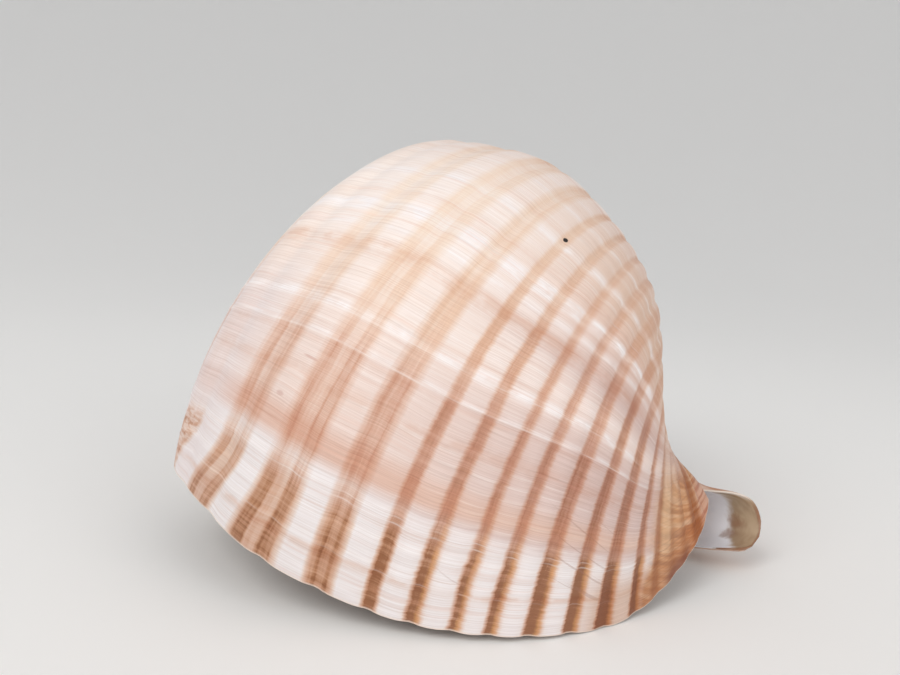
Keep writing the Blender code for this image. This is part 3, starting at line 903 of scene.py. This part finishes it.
def outsideMaterial(lines):
    mat, b, t, v, (hair, streak, cloud) = startFinish("shellOutside", lines)
    look = outsideFinish
    tone = paintAll(outsideTones)
    tb = placeBands(b, t, v)
    bands = bandMask(b, tb, v)
    density = pigmentDensity(b, t, v, tb, bands, streak)

    ground = layRows(b, t, v, tone, groundColour(b, t, v, tone))
    pale = b.times(b.span(streak, 0.50, 0.70), b.span(cloud, 0.35, 0.60), 0.26)
    ground = b.mix(pale, ground, tone["paleStreak"])
    tan = b.times(b.span(streak, 0.50, 0.34), b.span(cloud, 0.58, 0.40), 0.30)
    ground = b.glaze(tan, ground, tone["tanStreak"])
    # by the notch the ribs near the lip are tan all over
    ground = b.mix(b.zone(t, v, look["tanPart"]), ground, tone["tanEdge"])

    # pigment over the ground, yellower where it is fresh or old, and an amber fringe by the fine bands
    colour = b.mix(1.0, ground, b.ramp(density, 0.0, 1.0, look["pigment"]), 'MULTIPLY')
    colour = b.glaze(b.times(bands, b.zone(t, v, look["freshPart"])), colour, tone["fresh"])
    colour = b.glaze(b.times(bands, b.zone(t, v, look["olderPart"])), colour, tone["older"])
    fineBands = look["fine"][2]
    amber = b.ramp(tb, *look["fringeReach"], [(last + past, much) for first, last in fineBands[1:]
                                              for past, much in look["fringe"]])
    fringe = b.times(amber, b.span(v, -0.33, -0.19, 0.10, 0.66), b.span(cloud, 0.35, 0.6, 0.6, 1.0))
    colour = b.mix(fringe, colour, b.mix(1.0, ground, tone["amber"], 'MULTIPLY'))
    colour = b.mix(1.0, colour, b.ramp(hair, 0.0, 1.0, look["hairTone"]), 'MULTIPLY')

    canalFrom = b.span(v, -0.22, -0.08, 0.893, 0.864)
    canalIn = b.times(b.span(t, 0.85, canalFrom), b.span(v, -0.9, -0.45, 0.20, 0.95))
    colour = b.mix(canalIn, colour, canalColour(b, t, v, tone, bands))
    colour = layMarks(b, t, v, tone, colour)

    height = b.plus(b.times(hair, 0.5), b.times(streak, 0.3))
    shader = endFinish(mat, b, colour, b.span(streak, 0.2, 0.8, 0.36, 0.50), 0.35, height)
    shader.inputs["Specular IOR Level"].default_value = 0.4
    return mat


insideTones = {
    "deep": (204, 160, 132), "warm": (226, 196, 176), "pale": (236, 218, 206), "lip": (242, 234, 228),
    "through": (188, 136, 104), "milky": (244, 232, 224),
}


def insideMaterial(lines):
    mat, b, t, v, grain = startFinish("shellInside", lines)
    tone = paintAll(insideTones)
    glow = b.ramp(v, -3.0, 0.0, [(-3.0, tone["deep"]), (-1.2, tone["warm"]), (-0.3, tone["pale"]),
                                 (0.0, tone["lip"])])
    # the bands outside show through the thin wall
    through = b.plus(bandRamp(b, t, "fine", 0.0035), b.times(bandRamp(b, t, "broad", 0.005), 0.6))
    strength = b.math('MULTIPLY_ADD', b.span(v, -0.35, -0.03), 0.28, 0.14)
    colour = b.mix(b.times(through, strength), glow, tone["through"])
    colour = b.mix(b.span(grain["Cloud"], 0.4, 0.8, 0.0, 0.3), colour, tone["milky"])
    endFinish(mat, b, colour, 0.22, 0.12, grain["Streak"])
    return mat


channelFinish = {
    # width of the olive border round the curl, broad in the middle of the tongue and gone at its sides
    "border": [(0.30, 0.012), (0.40, 0.075), (0.54, 0.110), (0.68, 0.100), (0.78, 0.055), (0.84, 0.008)],
    "smudges": [((0.575, 0.915), (0.036, 0.026)), ((0.66, 0.895), (0.030, 0.026))],    # place, half size
    "tones": {"inner": (232, 214, 202), "white": (250, 246, 248), "coolWhite": (248, 247, 252),
              "olive": (168, 140, 112), "paleOlive": (190, 166, 138), "smudge": (146, 104, 78),
              "brownRim": (140, 92, 62), "paleRim": (232, 220, 208), "backDark": (196, 142, 108),
              "backPale": (226, 196, 178), "backStreak": (190, 140, 112), "backRim": (160, 116, 86)},
}


def channelMaterial(lines):
    # here t is the angle round the curl, in turns, and v is 1 at the free rim
    mat, b, t, v, grain = startFinish("shellChannel", lines)
    tone = paintAll(channelFinish["tones"])
    width = b.ramp(t, 0.28, 0.86, channelFinish["border"])
    ragged = b.sway((t, 9.0), (v, 22.0), 0.045, 3.0)
    depth = b.minus(b.minus(1.0, v), ragged)
    border = b.span(b.minus(depth, width), 0.020, -0.020)
    white = b.ramp(v, 0.0, 1.0, [(0.0, tone["inner"]), (0.70, tone["white"]), (0.90, tone["coolWhite"])])
    olive = b.mix(b.span(grain["Cloud"], 0.35, 0.65), tone["olive"], tone["paleOlive"])
    colour = b.mix(border, white, olive)
    blur = b.sway((t, 26.0), (v, 70.0), 2.4, 3.0)
    for place, half in channelFinish["smudges"]:
        far = b.plus(b.oval(t, v, place, half), blur)
        colour = b.mix(b.span(far, 2.2, 0.0, 0.0, 0.62), colour, tone["smudge"])
    rim = b.times(b.span(b.plus(v, b.times(ragged, 0.3)), 0.990, 0.997), b.span(t, 0.40, 0.50), 0.8)
    colour = b.mix(rim, colour, tone["brownRim"])
    colour = b.mix(b.times(b.span(v, 0.985, 0.996), b.span(t, 0.44, 0.36)), colour, tone["paleRim"])
    endFinish(mat, b, colour, 0.3)
    return mat


def channelBackMaterial(lines):
    mat, b, t, v, grain = startFinish("shellChannelBack", lines)
    tone = paintAll(channelFinish["tones"])
    ribs = b.noise((t, 30.0), (v, 1.5))
    colour = b.mix(b.span(ribs, 0.42, 0.58), tone["backDark"], tone["backPale"])
    colour = b.mix(b.times(b.span(grain["Streak"], 0.55, 0.35), 0.5), colour, tone["backStreak"])
    colour = b.mix(b.span(v, 0.94, 0.99, 0.0, 0.2), colour, tone["backRim"])
    endFinish(mat, b, colour, 0.4, 0.3, b.plus(grain["Hair"], grain["Streak"]))
    return mat


growthLines = growthLinesGroup()
finishes = [make(growthLines)
            for make in (outsideMaterial, insideMaterial, channelMaterial, channelBackMaterial)]
print("finishes ready")

shell = growWall()
uniteWith(shell, growColumella(), True)
uniteWith(shell, growNucleus(), True)
uniteWith(shell, growChannel())
layDown(shell)
shell.name = shell.data.name = "tunShellSurface"
print("shell grown,", len(shell.data.polygons), "faces")
bpy.ops.object.select_all(action='DESELECT')
bpy.context.view_layer.objects.active = shell
shell.select_set(True)
bpy.ops.object.shade_smooth_by_angle(angle=math.radians(shellForm["smoothUnder"]))
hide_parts("tun_shell")
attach(shell, "root")
print("shell dressed")
